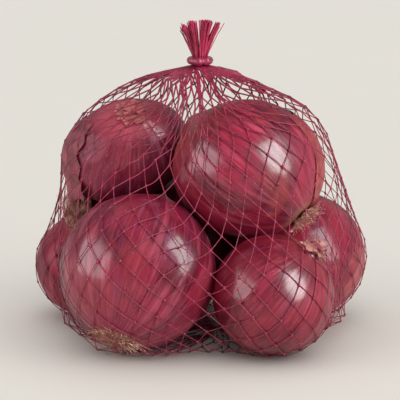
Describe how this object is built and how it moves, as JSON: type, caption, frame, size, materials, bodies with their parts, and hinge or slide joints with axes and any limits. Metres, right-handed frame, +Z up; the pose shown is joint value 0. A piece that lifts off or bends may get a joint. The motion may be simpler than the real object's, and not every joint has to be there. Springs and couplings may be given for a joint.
{
  "type": "net bag of red onions",
  "caption": "Knotted mesh produce bag packed with red onions, standing on the onions, gathered and tied at the top under a tuft of cut net ends.",
  "frame": {"origin": "on the floor, at the centre of the bag's bounding box seen from above", "axes": "+Z up toward the tied neck, -Y toward the front shown in the picture, +X to the right seen from the front"},
  "size_m": [0.1699, 0.144, 0.1574],
  "materials": {
    "net_of_onions": "semi-gloss onion skin seen through the threads of a crimson net",
    "tie_band": "satin crimson cord"
  },
  "bodies": {
    "root": {"net_of_onions": "net_of_onions", "tie_band": "tie_band"}
  },
  "joints": []
}
